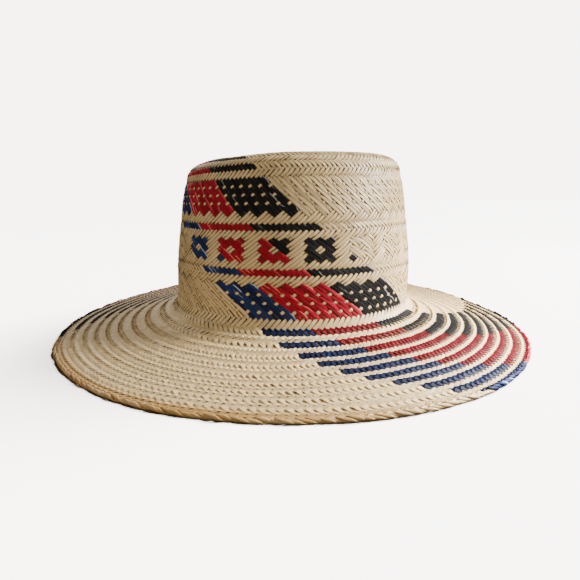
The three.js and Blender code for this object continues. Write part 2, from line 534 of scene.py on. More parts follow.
def crown_over(straw, level):
    """Whether a falling straw lies over a rising one on the crown's side."""
    end = UPPER_BAND["foot"] + (ZIGZAG_STRAWS - 1 - straw) % ZIGZAG_STRAWS
    upper = (level >= UPPER_BAND["head"]) & (level <= end)
    start = LOWER_BAND["head"] - straw % ZIGZAG_STRAWS
    lower = (level >= start) & (level <= LOWER_BAND["foot"])
    over = upper & ~dotted(straw, level, UPPER_BAND) | lower & ~dotted(straw, level, LOWER_BAND)
    for head in LINE_HEADS:
        over |= in_span(level, (head, head + RING_LEVELS))
    over |= figure_over(straw, level)
    over |= (level < SHOULDER_RINGS["foot"]) & ring_over(level, SHOULDER_RINGS["start"])
    over |= (level >= RINGS_START) & ring_over(level, RINGS_START)
    return over


def lies_over(plait, way, number, level):
    """Whether each straw of one family lies over at each level."""
    if plait is CROWN_SIDE:
        straws = plait["straws"]
        falling = number if way > 0 else number - level
        # At the seam, behind, the count of straws starts again.
        over = crown_over((falling - CROWN_SEAM) % straws + CROWN_SEAM - straws, level)
    else:
        over = ring_over(level, RINGS_START)
    return over if way > 0 else ~over


def dye_of(plait, straw):
    """The dye of each falling straw."""
    place = (straw + 0.5 - plait["dye_start"]) % (plait["straws"] / DYE_REPEATS)
    dye = np.full(np.shape(straw), NATURAL)
    ends = np.cumsum([plait["blue"], plait["red"], plait["black"]])
    dye[place < ends[2]] = BLACK
    dye[place < ends[1]] = RED
    dye[place < ends[0]] = BLUE
    return dye


def crossing_heights(plait, way, over, level, plait_depth):
    """How high each straw lies at each level, where it arches, and where it comes up alone."""
    height = np.where(over, 1.0, -1.0)
    beside = np.pad(height, ((0, 0), (1, 1)), "edge")
    arch = (beside[:, :-2] == height) & (beside[:, 2:] == height)
    lone = over & (beside[:, :-2] < 0) & (beside[:, 2:] < 0)
    height = height * plait["depth"] * (plait_depth / MM + ARCH_RISE * arch + LONE_RISE * lone)
    if way > 0:
        height = np.where(over & (level > BRIM_START), BRIM_RISE * height, height)
    height[:, -1] -= TUCKS["last"]
    height = height + RIM_RISE * ramp(level, *RIM_RISE_LEVELS)
    height[:, -2] -= TUCKS["next_to_last"]
    if plait["first"] != TOP_ROUNDS[-1]["first"]:
        height[:, 0] -= TUCKS["first"]
        height[:, 1] -= TUCKS["second"]
    return height, arch, lone


def wandering(chance, shape):
    """How far each straw strays from its lane, as a share of the lane."""
    wander = np.cumsum(chance.normal(0, 1, shape), axis=1)
    wander = wander - wander.mean(axis=1, keepdims=True)
    return WANDER * wander / (1 + np.abs(wander) * WANDER_HOLD)


def crossing_slits(plait, chance, level, over, arch, lone):
    """The slit that each straw leaves at each crossing, as a share of its lane."""
    brim = np.where(level > BRIM_SLITS["past"], BRIM_SLITS["share"], 1)
    slit = plait["slit"] * chance.uniform(SLITS["least"], SLITS["most"], over.shape) * brim
    slit = np.where(chance.random(over.shape) < SLITS["wide_chance"], SLITS["wide"], slit)
    slit = np.where(lone, SLITS["lone"] * slit, np.where(over, slit, SLITS["under"] * slit))
    return np.where(arch, 0.0, slit)


def straw_tints(chance, dye, level):
    """Each straw's tint. A dyed one's is low where it is darkened, on the brim most: there, and in the
    upper band's blue, the darkening is painted shade.

    Over a half, a dyed straw shows undyed lines, partly painted highlight.
    """
    tint = np.clip(chance.normal(TINT["middle"], TINT["spread"], (len(dye), 1)), 0, 1)
    tint = np.repeat(tint, level.shape[1], axis=1)
    # Painted shade darkens the brim's dyed straws and the upper band's blue; the lower band is darker
    # too.
    banded = (level > DARKER_BANDS["past"]) | (level < SHADED_BLUE_LEVEL) & (dye == BLUE)
    deep = np.where(banded & (tint < TINT["middle"]), DARKER_BANDS["share"], 1)
    deep = np.where(level > BRIM_DYE_SHADE["past"], BRIM_DYE_SHADE["share"], deep)
    return np.where(dye != NATURAL, deep * tint, tint)


def straw_paths(plait, family, sizes, seed):
    """The middle lines of one family of straws, over and under the other family's.

    The result holds places, sideways vectors, girths, dyes and tints, one row for each straw.
    """
    chance = np.random.default_rng(seed)
    straws = plait["straws"]
    number, level = np.meshgrid(
        np.arange(straws), np.arange(plait["first"], plait["last"] + 1), indexing="ij")
    way = 1 if family == "falling" else -1
    over = lies_over(plait, way, number, level)
    height, arch, lone = crossing_heights(plait, way, over, level, sizes.plait_depth)
    base = rib_lift(level, sizes.rib_height)
    turn = 360 / straws

    def place(shift_level, shift_turn, lift):
        azimuth = turn * (number + 0.5 + shift_turn + way * (level + shift_level) / 2) + plait["turn"]
        pull = around(CROWN_PULL, half_turned(azimuth))
        azimuth = azimuth + pull * ramp(level + shift_level, *PULL_LEVELS)
        return on_face(level + shift_level, azimuth, lift)

    places = place(0, 0, base + height)
    # One step across a straw runs along the other family.
    sideways = place(-0.5 * way, 0.5, base) - place(0.5 * way, -0.5, base)
    pitch = np.linalg.norm(sideways, axis=-1)
    sideways = sideways / pitch[..., None]
    wander = wandering(chance, level.shape)
    places = places + sideways * (wander * pitch)[..., None]
    facing = np.cross(np.gradient(places, axis=1), sideways)
    facing = facing / np.linalg.norm(facing, axis=-1, keepdims=True)
    # Toward a crossing a straw draws in from one side, which leaves a slit beside it.
    slit = crossing_slits(plait, chance, level, over, arch, lone)
    places = places - sideways * (0.5 * slit * pitch)[..., None]
    filled = sizes.straw_share * plait["share"] - slit
    girth = pitch * (filled + chance.normal(0, GIRTH_SPREAD, (straws, 1)))
    wide = GIRTHS[family]
    widening = np.where(over, wide["over"], wide["under"])
    girth = np.where(level > wide["past"], widening * girth, girth)
    tilt = chance.normal(0, TILT_SPREAD, (straws, 1))
    tilt = tilt + TILT_WITH_WANDER * wander * chance.normal(0, 1, (straws, 1))
    flat = ramp(level, *NARROW_LEVELS)
    azimuth = np.degrees(np.arctan2(places[..., 0], -places[..., 1]))
    dye = dye_of(plait, number) if way > 0 else np.full(number.shape, NATURAL)
    return {
        "places": places * MM,
        "sideways": sideways + facing * (flat * tilt)[..., None],
        "girth": girth * (NARROW_SHARE + (1 - NARROW_SHARE) * flat),
        "tint": straw_tints(chance, dye, level),
        "golden": ramp(level, *GOLDEN_LEVELS) * around(GOLDEN_ROUND, azimuth),
        "dye": dye,
    }


def top_rounds():
    """The top's rounds, each turned so that its dyed lanes run on from the round outside it."""
    outer = CROWN_SIDE
    rounds = []
    for plait in TOP_ROUNDS:
        join = plait["last"] - 0.5
        mark = 360 / outer["straws"] * (outer["dye_start"] + join / 2) + outer["turn"]
        turn = mark - 360 / plait["straws"] * (plait["dye_start"] + join / 2)
        outer = {**plait, "turn": turn}
        rounds.append(outer)
    return rounds


def knot_paths():
    """The few straws that cross at the top's centre, each over the last one."""
    count = KNOT["straws"]
    number, step = np.meshgrid(np.arange(count), np.linspace(-1, 1, KNOT["points"]), indexing="ij")
    turn = np.pi * (number + KNOT["turn"]) / count
    reach = KNOT["reach"] * step
    centre = np.array([0.0, 0.0, TOP_HEIGHT]) + SHIFT
    lift = KNOT["layer"] * number * (1 - step**2) - KNOT["depth"] - KNOT["droop"] * np.abs(step) ** 3
    places = np.stack([reach * np.cos(turn), reach * np.sin(turn), lift], -1) + centre
    sideways = np.stack([-np.sin(turn), np.cos(turn), 0 * turn], -1)
    return {
        "places": places * MM,
        "sideways": sideways,
        "girth": np.full(turn.shape, KNOT["width"]),
        "tint": KNOT["tint"] + KNOT["tint_step"] * number,
        "golden": 0 * turn,
        "dye": np.full(turn.shape, NATURAL),
    }


def path_object(name, runs):
    """A mesh of open lines, one for each straw, with what the sweep needs on its points."""
    places = []
    edges = []
    columns = {"sideways": [], "girth": [], "tint": [], "golden": [], "dye": []}
    start = 0
    for run in runs:
        straws, points = run["girth"].shape
        index = start + np.arange(straws * points).reshape(straws, points)
        edges.append(np.stack([index[:, :-1], index[:, 1:]], -1).reshape(-1, 2))
        places.append(run["places"].reshape(-1, 3))
        for key, column in columns.items():
            column.append(run[key].reshape(straws * points, -1))
        start += straws * points
    mesh = bpy.data.meshes.new(name)
    mesh.from_pydata(np.concatenate(places).tolist(), np.concatenate(edges).tolist(), [])
    for key, kind, slot in (
        ("sideways", "FLOAT_VECTOR", "vector"),
        ("girth", "FLOAT", "value"),
        ("tint", "FLOAT", "value"),
        ("golden", "FLOAT", "value"),
        ("dye", "INT", "value"),
    ):
        attribute = mesh.attributes.new(key, kind, "POINT")
        attribute.data.foreach_set(slot, np.concatenate(columns[key]).ravel().tolist())
    made = bpy.data.objects.new(name, mesh)
    bpy.context.scene.collection.objects.link(made)
    return made


def fill(tree, node, inputs):
    """Gives a node's inputs their values, or links them to other nodes' outputs."""
    for key, value in inputs.items():
        if isinstance(value, bpy.types.NodeSocket):
            tree.links.new(value, node.inputs[key])
        else:
            node.inputs[key].default_value = value


def add_node(tree, kind, inputs=None, **values):
    """Adds a node, sets its properties, fills its inputs, and returns it."""
    made = tree.nodes.new(kind)
    for key, value in values.items():
        setattr(made, key, value)
    fill(tree, made, inputs or {})
    return made


def worked_out(tree, operation, *terms, **values):
    """The result of one step of arithmetic in a node tree."""
    made = add_node(tree, "ShaderNodeMath", dict(enumerate(terms)), operation=operation, **values)
    return made.outputs["Value"]


def ranged(tree, value, low, high, out_low=0.0, out_high=1.0):
    """A value carried from one range over to another, and held inside it."""
    span = {"From Min": low, "From Max": high, "To Min": out_low, "To Max": out_high}
    return add_node(tree, "ShaderNodeMapRange", {"Value": value, **span}).outputs["Result"]


def named(tree, name, kind):
    """An attribute of the points, read in a geometry tree."""
    made = add_node(tree, "GeometryNodeInputNamedAttribute", {"Name": name}, data_type=kind)
    return made.outputs["Attribute"]


def stored(tree, geometry, name, value, domain="POINT"):
    """A geometry that keeps a number on its points or instances under a name."""
    made = add_node(
        tree, "GeometryNodeStoreNamedAttribute",
        {"Geometry": geometry, "Name": name, "Value": value}, data_type="FLOAT", domain=domain)
    return made.outputs["Geometry"]


def by_chance(tree, kind, seed, **span):
    """A random value for each point or instance."""
    inputs = {"Seed": seed, **span}
    return add_node(tree, "FunctionNodeRandomValue", inputs, data_type=kind).outputs["Value"]


def tree_with_sizes(name, sizes):
    """A geometry tree with its input and output and one named input for each size."""
    tree = bpy.data.node_groups.new(name, "GeometryNodeTree")
    tree.interface.new_socket("Geometry", in_out="INPUT", socket_type="NodeSocketGeometry")
    for label, value in sizes.items():
        socket = tree.interface.new_socket(label, in_out="INPUT", socket_type="NodeSocketFloat")
        socket.default_value = value
    tree.interface.new_socket("Geometry", in_out="OUTPUT", socket_type="NodeSocketGeometry")
    return tree, tree.nodes.new("NodeGroupInput"), tree.nodes.new("NodeGroupOutput")


def section_curve(tree, width, thickness):
    """A straw's section: six corners, flattened to a lens with wide, nearly flat faces."""
    radius = SECTION["radius"]
    ring = add_node(
        tree, "GeometryNodeCurvePrimitiveCircle", {"Resolution": SECTION["corners"], "Radius": radius})
    position = add_node(tree, "GeometryNodeInputPosition").outputs["Position"]
    corner = add_node(tree, "ShaderNodeSeparateXYZ", {"Vector": position}).outputs
    reach = worked_out(tree, "ABSOLUTE", corner["X"])
    widening = ranged(tree, reach, SECTION["inner_reach"], radius, SECTION["widening"], 1.0)
    wider = add_node(
        tree, "ShaderNodeCombineXYZ",
        {"X": worked_out(tree, "MULTIPLY", corner["X"], widening), "Y": corner["Y"]})
    shape = add_node(
        tree, "GeometryNodeSetPosition",
        {"Geometry": ring.outputs["Curve"], "Position": wider.outputs["Vector"]})
    across = stored(tree, shape.outputs["Geometry"], "across", corner["X"])
    size = add_node(tree, "ShaderNodeCombineXYZ", {"X": width, "Y": thickness, "Z": 1.0})
    flat = add_node(
        tree, "GeometryNodeTransform", {"Geometry": across, "Scale": size.outputs["Vector"]})
    return flat.outputs["Geometry"]


def creased(tree, mesh):
    """A smooth mesh whose edges stay sharp where its faces meet at more than a small angle."""
    smooth = add_node(tree, "GeometryNodeSetShadeSmooth", {"Geometry": mesh})
    bend = add_node(tree, "GeometryNodeInputMeshEdgeAngle").outputs["Unsigned Angle"]
    sharp = add_node(
        tree, "FunctionNodeCompare", {"A": bend, "B": CREASE_ANGLE},
        data_type="FLOAT", operation="GREATER_THAN")
    inputs = {
        "Geometry": smooth.outputs["Geometry"],
        "Selection": sharp.outputs["Result"],
        "Shade Smooth": False,
    }
    return add_node(tree, "GeometryNodeSetShadeSmooth", inputs, domain="EDGE").outputs["Geometry"]


def sweep_tree(materials):
    """Sweeps a lens-shaped straw along each line and gives it its dye."""
    tree, start, end = tree_with_sizes("Straw Sweep", {"Straw Width": MM, "Straw Thickness": 0.3 * MM})
    curve = add_node(tree, "GeometryNodeMeshToCurve", {"Mesh": start.outputs["Geometry"]})
    sideways = named(tree, "sideways", "FLOAT_VECTOR")
    facing = add_node(
        tree, "GeometryNodeSetCurveNormal",
        {"Curve": curve.outputs["Curve"], "Normal": sideways}, mode="FREE")
    length = add_node(tree, "GeometryNodeSplineParameter").outputs["Length"]
    section = section_curve(tree, start.outputs["Straw Width"], start.outputs["Straw Thickness"])
    sweep = add_node(tree, "GeometryNodeCurveToMesh", {
        "Curve": stored(tree, facing.outputs["Curve"], "along", length),
        "Profile Curve": section,
        "Scale": named(tree, "girth", "FLOAT"),
        "Fill Caps": True,
    })
    mesh = creased(tree, sweep.outputs["Mesh"])
    last = add_node(tree, "GeometryNodeRealizeInstances", {"Geometry": mesh}).outputs["Geometry"]
    for dye, material in enumerate(materials):
        chosen = add_node(
            tree, "FunctionNodeCompare", {"A": named(tree, "dye", "INT"), "B": dye},
            data_type="INT", operation="EQUAL")
        finish = add_node(tree, "GeometryNodeSetMaterial", {
            "Geometry": last, "Selection": chosen.outputs["Result"], "Material": material})
        last = finish.outputs["Geometry"]
    fill(tree, end, {"Geometry": last})
    return tree


def run_tree(source, tree, sizes, name):
    """Runs a geometry tree on an object and returns its plain mesh result as a new object."""
    modifier = source.modifiers.new("Plait", "NODES")
    modifier.node_group = tree
    items = tree.interface.items_tree
    sockets = {item.name: item.identifier for item in items if item.in_out == "INPUT"}
    for label, value in sizes.items():
        modifier[sockets[label]] = value
    bpy.context.view_layer.update()
    evaluated = source.evaluated_get(bpy.context.evaluated_depsgraph_get())
    mesh = bpy.data.meshes.new_from_object(evaluated)
    if len(mesh.polygons) == 0:
        raise RuntimeError(f"{name}: the geometry tree made no faces")
    made = bpy.data.objects.new(name, mesh)
    mesh.name = name
    bpy.context.scene.collection.objects.link(made)
    source.modifiers.clear()
    bpy.data.objects.remove(source)
    return made


def plait_piece(name, runs, sizes, materials):
    """Makes one piece of plaited straws and gives it to the frame."""
    paths = path_object(name + "_paths", runs)
    values = {"Straw Width": MM, "Straw Thickness": sizes.straw_thickness * 0.5}
    piece = run_tree(paths, sweep_tree(materials), values, name)
    for spare in ("girth", "dye"):
        if spare in piece.data.attributes:
            piece.data.attributes.remove(piece.data.attributes[spare])
    hand_over(piece, "hat_body")


def hand_over(piece, node):
    """Rides a piece on the hat in place of a CAD node."""
    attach(piece, "root")
    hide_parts(node)
    print(piece.name, sum(len(face.vertices) - 2 for face in piece.data.polygons), "triangles")


def sheet_mesh(rib_height):
    """The thin middle of the plait, coloured with painted shade, seen only in the slits between
    straws.
    """
    crown = np.arange(SHEET["first"], RIB_START, SHEET["crown_step"])
    rows = np.concatenate([crown, np.arange(RIB_START, SHEET["last"], SHEET["brim_step"])])
    azimuth = np.arange(SHEET["corners"]) * 360 / SHEET["corners"]
    level, turn = np.meshgrid(rows, azimuth, indexing="ij")
    faces = []
    rings = []
    for layer, side in enumerate((1, -1)):
        depth = rib_lift(level, rib_height) + side * SHEET["half_thickness"]
        rings.append(on_face(level, turn, depth).reshape(-1, 3))
        index = layer * level.size + np.arange(level.size).reshape(level.shape)
        after = np.roll(index, -1, axis=1)
        quads = np.stack([index[:-1], after[:-1], after[1:], index[1:]], -1).reshape(-1, 4)
        faces += quads[:, ::-side].tolist()
    corners = len(azimuth)
    last = level.size - corners
    for k in range(corners):
        after = (k + 1) % corners
        low = level.size + last
        faces.append((last + k, last + after, low + after, low + k))
    faces.append(tuple(range(corners)))
    faces.append(tuple(level.size + k for k in reversed(range(corners))))
    mesh = bpy.data.meshes.new("plait_shade")
    mesh.from_pydata((np.concatenate(rings) * MM).tolist(), [], faces)
    mesh.shade_smooth()
    return mesh


def new_material(name):
    """A material with its node tree and its shader."""
    material = bpy.data.materials.new(name)
    material.use_nodes = True
    return material, material.node_tree, material.node_tree.nodes["Principled BSDF"]


def mixed(tree, first, second, share):
    """One colour run into another by a share. Each is a colour or another node's output."""
    inputs = {"Factor": share}
    for key, end in (("A", first), ("B", second)):
        inputs[key] = end if isinstance(end, bpy.types.NodeSocket) else (*end, 1)
    return add_node(tree, "ShaderNodeMix", inputs, data_type="RGBA").outputs["Result"]


def shade_material(colour):
    """Painted shade for the slits: the straw colour darkened, darkest on the crown."""
    material, tree, shader = new_material("shaded_straw")
    place = add_node(tree, "ShaderNodeTexCoord").outputs["Object"]
    noise = add_node(tree, "ShaderNodeTexNoise", {"Vector": place, "Scale": SHADE["grain"]})
    height = add_node(tree, "ShaderNodeSeparateXYZ", {"Vector": place}).outputs["Z"]
    crown = ranged(tree, height, SHADE["foot"] * MM, SHADE["head"] * MM)
    share = worked_out(tree, "ADD", crown, noise.outputs["Fac"], use_clamp=True)
    light = np.multiply(colour, SHADE["light"])
    dark = np.multiply(colour, SHADE["dark"])
    # Painted shade: the sheet is the straw colour darkened, more on the crown than on the brim.
    fill(tree, shader, {
        "Base Color": mixed(tree, light, dark, share),
        "Roughness": SHADE["roughness"],
        "Specular IOR Level": SHADE["gloss"],
    })
    return material


def fold_mesh():
    """One straw end folded round the rim at the front, a closed shape of lens section."""
    middle = np.array([(row["radius"], row["height"]) for row in FOLD_ROWS])
    way = np.gradient(middle, axis=0)
    out = np.stack([-way[:, 1], way[:, 0]], -1) / np.linalg.norm(way, axis=1)[:, None]
    run = np.concatenate([[0], np.cumsum(np.linalg.norm(np.diff(middle, axis=0), axis=1))])
    vertices = []
    across = []
    for row, point, normal in zip(FOLD_ROWS, middle, out):
        for corner in FOLD_SECTION:
            share = corner["across"]
            radius, height = point + normal * (corner["rise"] + FOLD_OVERLAP * share)
            turn = math.radians(row["turn"]) + share * FOLD_WIDTH / RIM_RADIUS
            vertices.append((radius * math.sin(turn), -radius * math.cos(turn), height))
            across.append(share)
    size = len(FOLD_SECTION)
    faces = [tuple(range(size))[::-1], tuple(range(len(vertices) - size, len(vertices)))]
    for ring in range(len(FOLD_ROWS) - 1):
        for k in range(size):
            a = ring * size + k
            b = ring * size + (k + 1) % size
            faces.append((a, b, b + size, a + size))
    mesh = bpy.data.meshes.new("straw_end")
    mesh.from_pydata(vertices, [], faces)
    for name, values in (("across", across), ("along", np.repeat(run * MM, size).tolist())):
        attribute = mesh.attributes.new(name, "FLOAT", "POINT")
        attribute.data.foreach_set("value", values)
    mesh.shade_smooth()
    return mesh


def fold_tree(material):
    """Repeats the folded straw end round the rim, each turned a little by chance."""
    tree, start, end = tree_with_sizes("Folded Ends", {"Ends": 240, "Stray": 0.1})
    ends = start.outputs["Ends"]
    points = add_node(tree, "GeometryNodePoints", {"Count": ends})
    number = add_node(tree, "GeometryNodeInputIndex").outputs["Index"]
    chance = by_chance(tree, "FLOAT", FOLD_SEEDS["stray"])
    strayed = worked_out(tree, "MULTIPLY_ADD", chance, start.outputs["Stray"], number)
    angle = worked_out(tree, "MULTIPLY", strayed, worked_out(tree, "DIVIDE", math.tau, ends))
    turn = add_node(tree, "ShaderNodeCombineXYZ", {"Z": angle})
    place = add_node(tree, "GeometryNodeInstanceOnPoints", {
        "Points": points.outputs["Points"],
        "Instance": start.outputs["Geometry"],
        "Rotation": turn.outputs["Vector"],
        "Scale": by_chance(tree, "FLOAT_VECTOR", FOLD_SEEDS["size"], Min=FOLD_LEAST, Max=FOLD_MOST),
    })
    tint = by_chance(tree, "FLOAT", FOLD_SEEDS["tint"])
    kept = stored(tree, place.outputs["Instances"], "tint", tint, "INSTANCE")
    realized = add_node(tree, "GeometryNodeRealizeInstances", {"Geometry": kept})
    finish = add_node(
        tree, "GeometryNodeSetMaterial",
        {"Geometry": realized.outputs["Geometry"], "Material": material})
    fill(tree, end, {"Geometry": finish.outputs["Geometry"]})
    return tree


def settle_mesh(piece):
    """Moves a round piece's vertices, in millimetres, to the real hat's shape, in metres."""
    places = np.zeros(len(piece.data.vertices) * 3)
    piece.data.vertices.foreach_get("co", places)
    places = settle(places.reshape(-1, 3)) + SHIFT
    azimuth = np.degrees(np.arctan2(places[:, 0], -places[:, 1]))
    golden = piece.data.attributes.new("golden", "FLOAT", "POINT")
    ripple = np.sin(GILT["fast"] * azimuth) * np.sin(GILT["slow"] * azimuth + GILT["start"])
    patches = GILT["middle"] + GILT["swing"] * ripple
    golden.data.foreach_set("value", (patches * around(GOLDEN_ROUND, azimuth)).tolist())
    piece.data.vertices.foreach_set("co", (places * MM).ravel())
    piece.data.update()


def dye_ends(piece, materials, ends):
    """Gives each folded straw end the dye of the brim's straw that runs into it."""
    faces = len(piece.data.polygons)
    azimuth = np.arange(faces) // (faces // ends) * 360 / ends
    straw = np.round((azimuth - BRIM["turn"]) * BRIM["straws"] / 360 - (BRIM["last"] + 1) / 2)
    piece.data.materials.clear()
    for material in materials:
        piece.data.materials.append(material)
    piece.data.polygons.foreach_set("material_index", dye_of(BRIM, straw).tolist())


def core_mesh():
    """The plain ring inside the turned edge."""
    vertices = []
    for k in range(CORE_STEPS):
        turn = math.tau * k / CORE_STEPS
        for row in CORE_ROWS:
            radius = row["radius"]
            vertices.append((radius * math.sin(turn), -radius * math.cos(turn), row["height"]))
    size = len(CORE_ROWS)
    faces = []
    for ring in range(CORE_STEPS):
        for k in range(size):
            a = ring * size + k
            b = ring * size + (k + 1) % size
            c = (ring + 1) % CORE_STEPS * size
            faces.append((a, c + k, c + (k + 1) % size, b))
    mesh = bpy.data.meshes.new("edge_core")
    mesh.from_pydata(vertices, [], faces)
    return mesh


def fibre_noise(tree, place, stretch, detail):
    """Noise drawn out along a straw."""
    stretched = add_node(tree, "ShaderNodeVectorMath", {0: place, 1: stretch}, operation="MULTIPLY")
    inputs = {"Vector": stretched.outputs["Vector"], "Scale": 1, "Detail": detail}
    return add_node(tree, "ShaderNodeTexNoise", inputs).outputs["Fac"]


def straw_bump(tree, away, grain):
    """The low relief of a straw, which is rounded across and has fine fibres."""
    rounded = worked_out(tree, "POWER", away, 2)
    relief = worked_out(tree, "MULTIPLY_ADD", rounded, BUMP["rounding"], grain)
    inputs = {"Height": relief, "Strength": BUMP["strength"], "Distance": BUMP["distance"] * MM}
    return add_node(tree, "ShaderNodeBump", inputs).outputs["Normal"]


def piece_attribute(tree, name, output="Fac"):
    """An attribute of the piece, read in a material."""
    return add_node(tree, "ShaderNodeAttribute", attribute_name=name).outputs[output]


def undyed_and_highlight_lines(tree, across, tint, blotch):
    """Where a dyed straw shows paler lines: the colour that it had before, partly painted highlight.
    """
    side = ranged(tree, across, *UNDYED_AND_HIGHLIGHT["side"])
    patch = ranged(tree, blotch, *UNDYED_AND_HIGHLIGHT["patch"])
    few = ranged(tree, tint, *UNDYED_AND_HIGHLIGHT["few"])
    return worked_out(tree, "MULTIPLY", worked_out(tree, "MULTIPLY", side, patch), few)


def painted_side_shade(tree, away):
    """Where painted shade darkens a natural straw towards its sides, more on the crown than on the
    brim.
    """
    point = add_node(tree, "ShaderNodeTexCoord").outputs["Object"]
    height = add_node(tree, "ShaderNodeSeparateXYZ", {"Vector": point}).outputs["Z"]
    low, high = (MM * end for end in PAINTED_SIDE_SHADE["heights"])
    strength = ranged(tree, height, low, high, *PAINTED_SIDE_SHADE["strength"])
    return worked_out(tree, "MULTIPLY", ranged(tree, away, *PAINTED_SIDE_SHADE["away"]), strength)


def straw_material(name, colour, dye, golden):
    """Palm straw in one dye: streaks along the straw, its own tint, paler patches, undyed lines that
    are partly painted highlight, and painted shade at a natural straw's sides.
    """
    material, tree, shader = new_material(name)
    deep = np.clip(colour * dye["deep"], 0, 1)
    pale = np.clip(colour * dye["pale"], 0, 1)
    across = piece_attribute(tree, "across")
    tint = piece_attribute(tree, "tint")
    away = worked_out(tree, "ABSOLUTE", across)
    each = worked_out(tree, "MULTIPLY", tint, TINT_SPACING)
    inputs = {"X": across, "Y": piece_attribute(tree, "along"), "Z": each}
    place = add_node(tree, "ShaderNodeCombineXYZ", inputs).outputs["Vector"]
    grain = fibre_noise(tree, place, GRAIN["stretch"], GRAIN["detail"])
    blotch = fibre_noise(tree, place, BLOTCH["stretch"], BLOTCH["detail"])
    body = mixed(tree, deep, colour, ranged(tree, grain, GRAIN["deep"], GRAIN["plain"]))
    paling = ranged(tree, blotch, BLOTCH["plain"], BLOTCH["pale"], 0.0, BLOTCH["share"])
    body = mixed(tree, body, pale, paling)
    if dye["dyed"]:
        body = mixed(tree, deep, body, ranged(tree, tint, 0.0, DEEP_TINT))
    body = mixed(tree, body, mixed(tree, deep, pale, tint), OWN_TINT)
    if dye["dyed"]:
        finish = DYED_FINISH
        # The undyed lines, partly painted highlight, pale one side of a dyed straw.
        body = mixed(tree, body, dye["edge"], undyed_and_highlight_lines(tree, across, tint, blotch))
    else:
        finish = NATURAL_FINISH
        # Painted shade darkens a natural straw's sides, in its edge colour.
        body = mixed(tree, body, dye["edge"], painted_side_shade(tree, away))
        dark, light = (np.multiply(golden, share) for share in GOLDEN_SHARES)
        body = mixed(tree, body, mixed(tree, dark, light, grain), piece_attribute(tree, "golden"))
    # The small lift keeps the tangent from being nothing where a piece has no such attribute.
    terms = {0: piece_attribute(tree, "sideways", "Vector"), 1: (0, 0, 0.001)}
    tangent = add_node(tree, "ShaderNodeVectorMath", terms, operation="ADD").outputs["Vector"]
    fill(tree, shader, {
        "Base Color": body,
        "Roughness": ranged(tree, grain, *ROUGH_GRAIN, *finish["roughness"]),
        "IOR": dye["refraction"],
        "Anisotropic": finish["anisotropy"],
        "Tangent": tangent,
        "Normal": straw_bump(tree, away, grain),
    })
    return material


def plait_materials(colours):
    """The four straw finishes, made once."""
    golden = tuple(colours.golden)
    made = []
    for dye in DYES:
        found = bpy.data.materials.get(dye["colour"] + "_straw")
        if found is None:
            colour = np.array(getattr(colours, dye["colour"])[:])
            found = straw_material(dye["colour"] + "_straw", colour, dye, golden)
        made.append(found)
    return made


class PalmHatStraw(bpy.types.PropertyGroup):
    """Sizes of the straws and of the plait."""

    straw_share: bpy.props.FloatProperty(
        name="Straw Share", description="Share of its lane that a straw fills",
        default=1.0, min=0.6, max=1.1)
    straw_thickness: bpy.props.FloatProperty(
        name="Straw Thickness", description="Thickness of a straw at its middle",
        default=0.28 * MM, unit="LENGTH")
    plait_depth: bpy.props.FloatProperty(
        name="Plait Depth", description="Height of a straw over the sheet's middle where it lies over",
        default=0.3 * MM, unit="LENGTH")
    rib_height: bpy.props.FloatProperty(
        name="Rib Height", description="Height of the brim's rings over the grooves between them",
        default=0.9 * MM, unit="LENGTH")
    wraps: bpy.props.IntProperty(
        name="Edge Wraps", description="Straw ends folded round the rim", default=240, min=60)


class PalmHatColours(bpy.types.PropertyGroup):
    """Colours of the straws."""

    natural: bpy.props.FloatVectorProperty(
        name="Natural", description="Undyed straw", subtype="COLOR", default=(0.53, 0.385, 0.19))
    blue: bpy.props.FloatVectorProperty(
        name="Blue", description="Blue dye", subtype="COLOR", default=(0.012, 0.028, 0.115))
    red: bpy.props.FloatVectorProperty(
        name="Red", description="Red dye", subtype="COLOR", default=(0.35, 0.007, 0.022))
    black: bpy.props.FloatVectorProperty(
        name="Black", description="Black dye", subtype="COLOR", default=(0.009, 0.009, 0.01))
    golden: bpy.props.FloatVectorProperty(
        name="Golden", description="Straw of the turned edge", subtype="COLOR",
        default=(0.33, 0.188, 0.055))


class PalmHatStage(bpy.types.PropertyGroup):
    """Floor, background and lights."""

    floor: bpy.props.FloatVectorProperty(
        name="Floor", description="Floor colour", subtype="COLOR", default=(0.86, 0.8, 0.77))
    sky: bpy.props.FloatVectorProperty(
        name="Background", description="Background colour", subtype="COLOR",
        default=(0.88, 0.82, 0.785))
    sky_strength: bpy.props.FloatProperty(
        name="Background Strength", description="Brightness of the background", default=7.9)
    wash: bpy.props.FloatProperty(
        name="Floor Wash", description="Light that falls on the floor alone", default=40.0)
    brightness: bpy.props.FloatProperty(
        name="Brightness", description="Share of the power of all lights", default=1.0)


# The camera that took the view: its place from the round hat's axis, its tilt down in radians,
# and its focal length in pixels of a picture this wide
CAMERA_PLACE = (-1.93, -362.2, 101.0)
CAMERA_TILT = 0.209
FOCAL_PIXELS = 440
PICTURE_PIXELS = 580
SENSOR_WIDTH = 36
FLOOR_REACH = 12.0
SUN = {"place": (0.8, 0.55, 0.85), "width": 38}

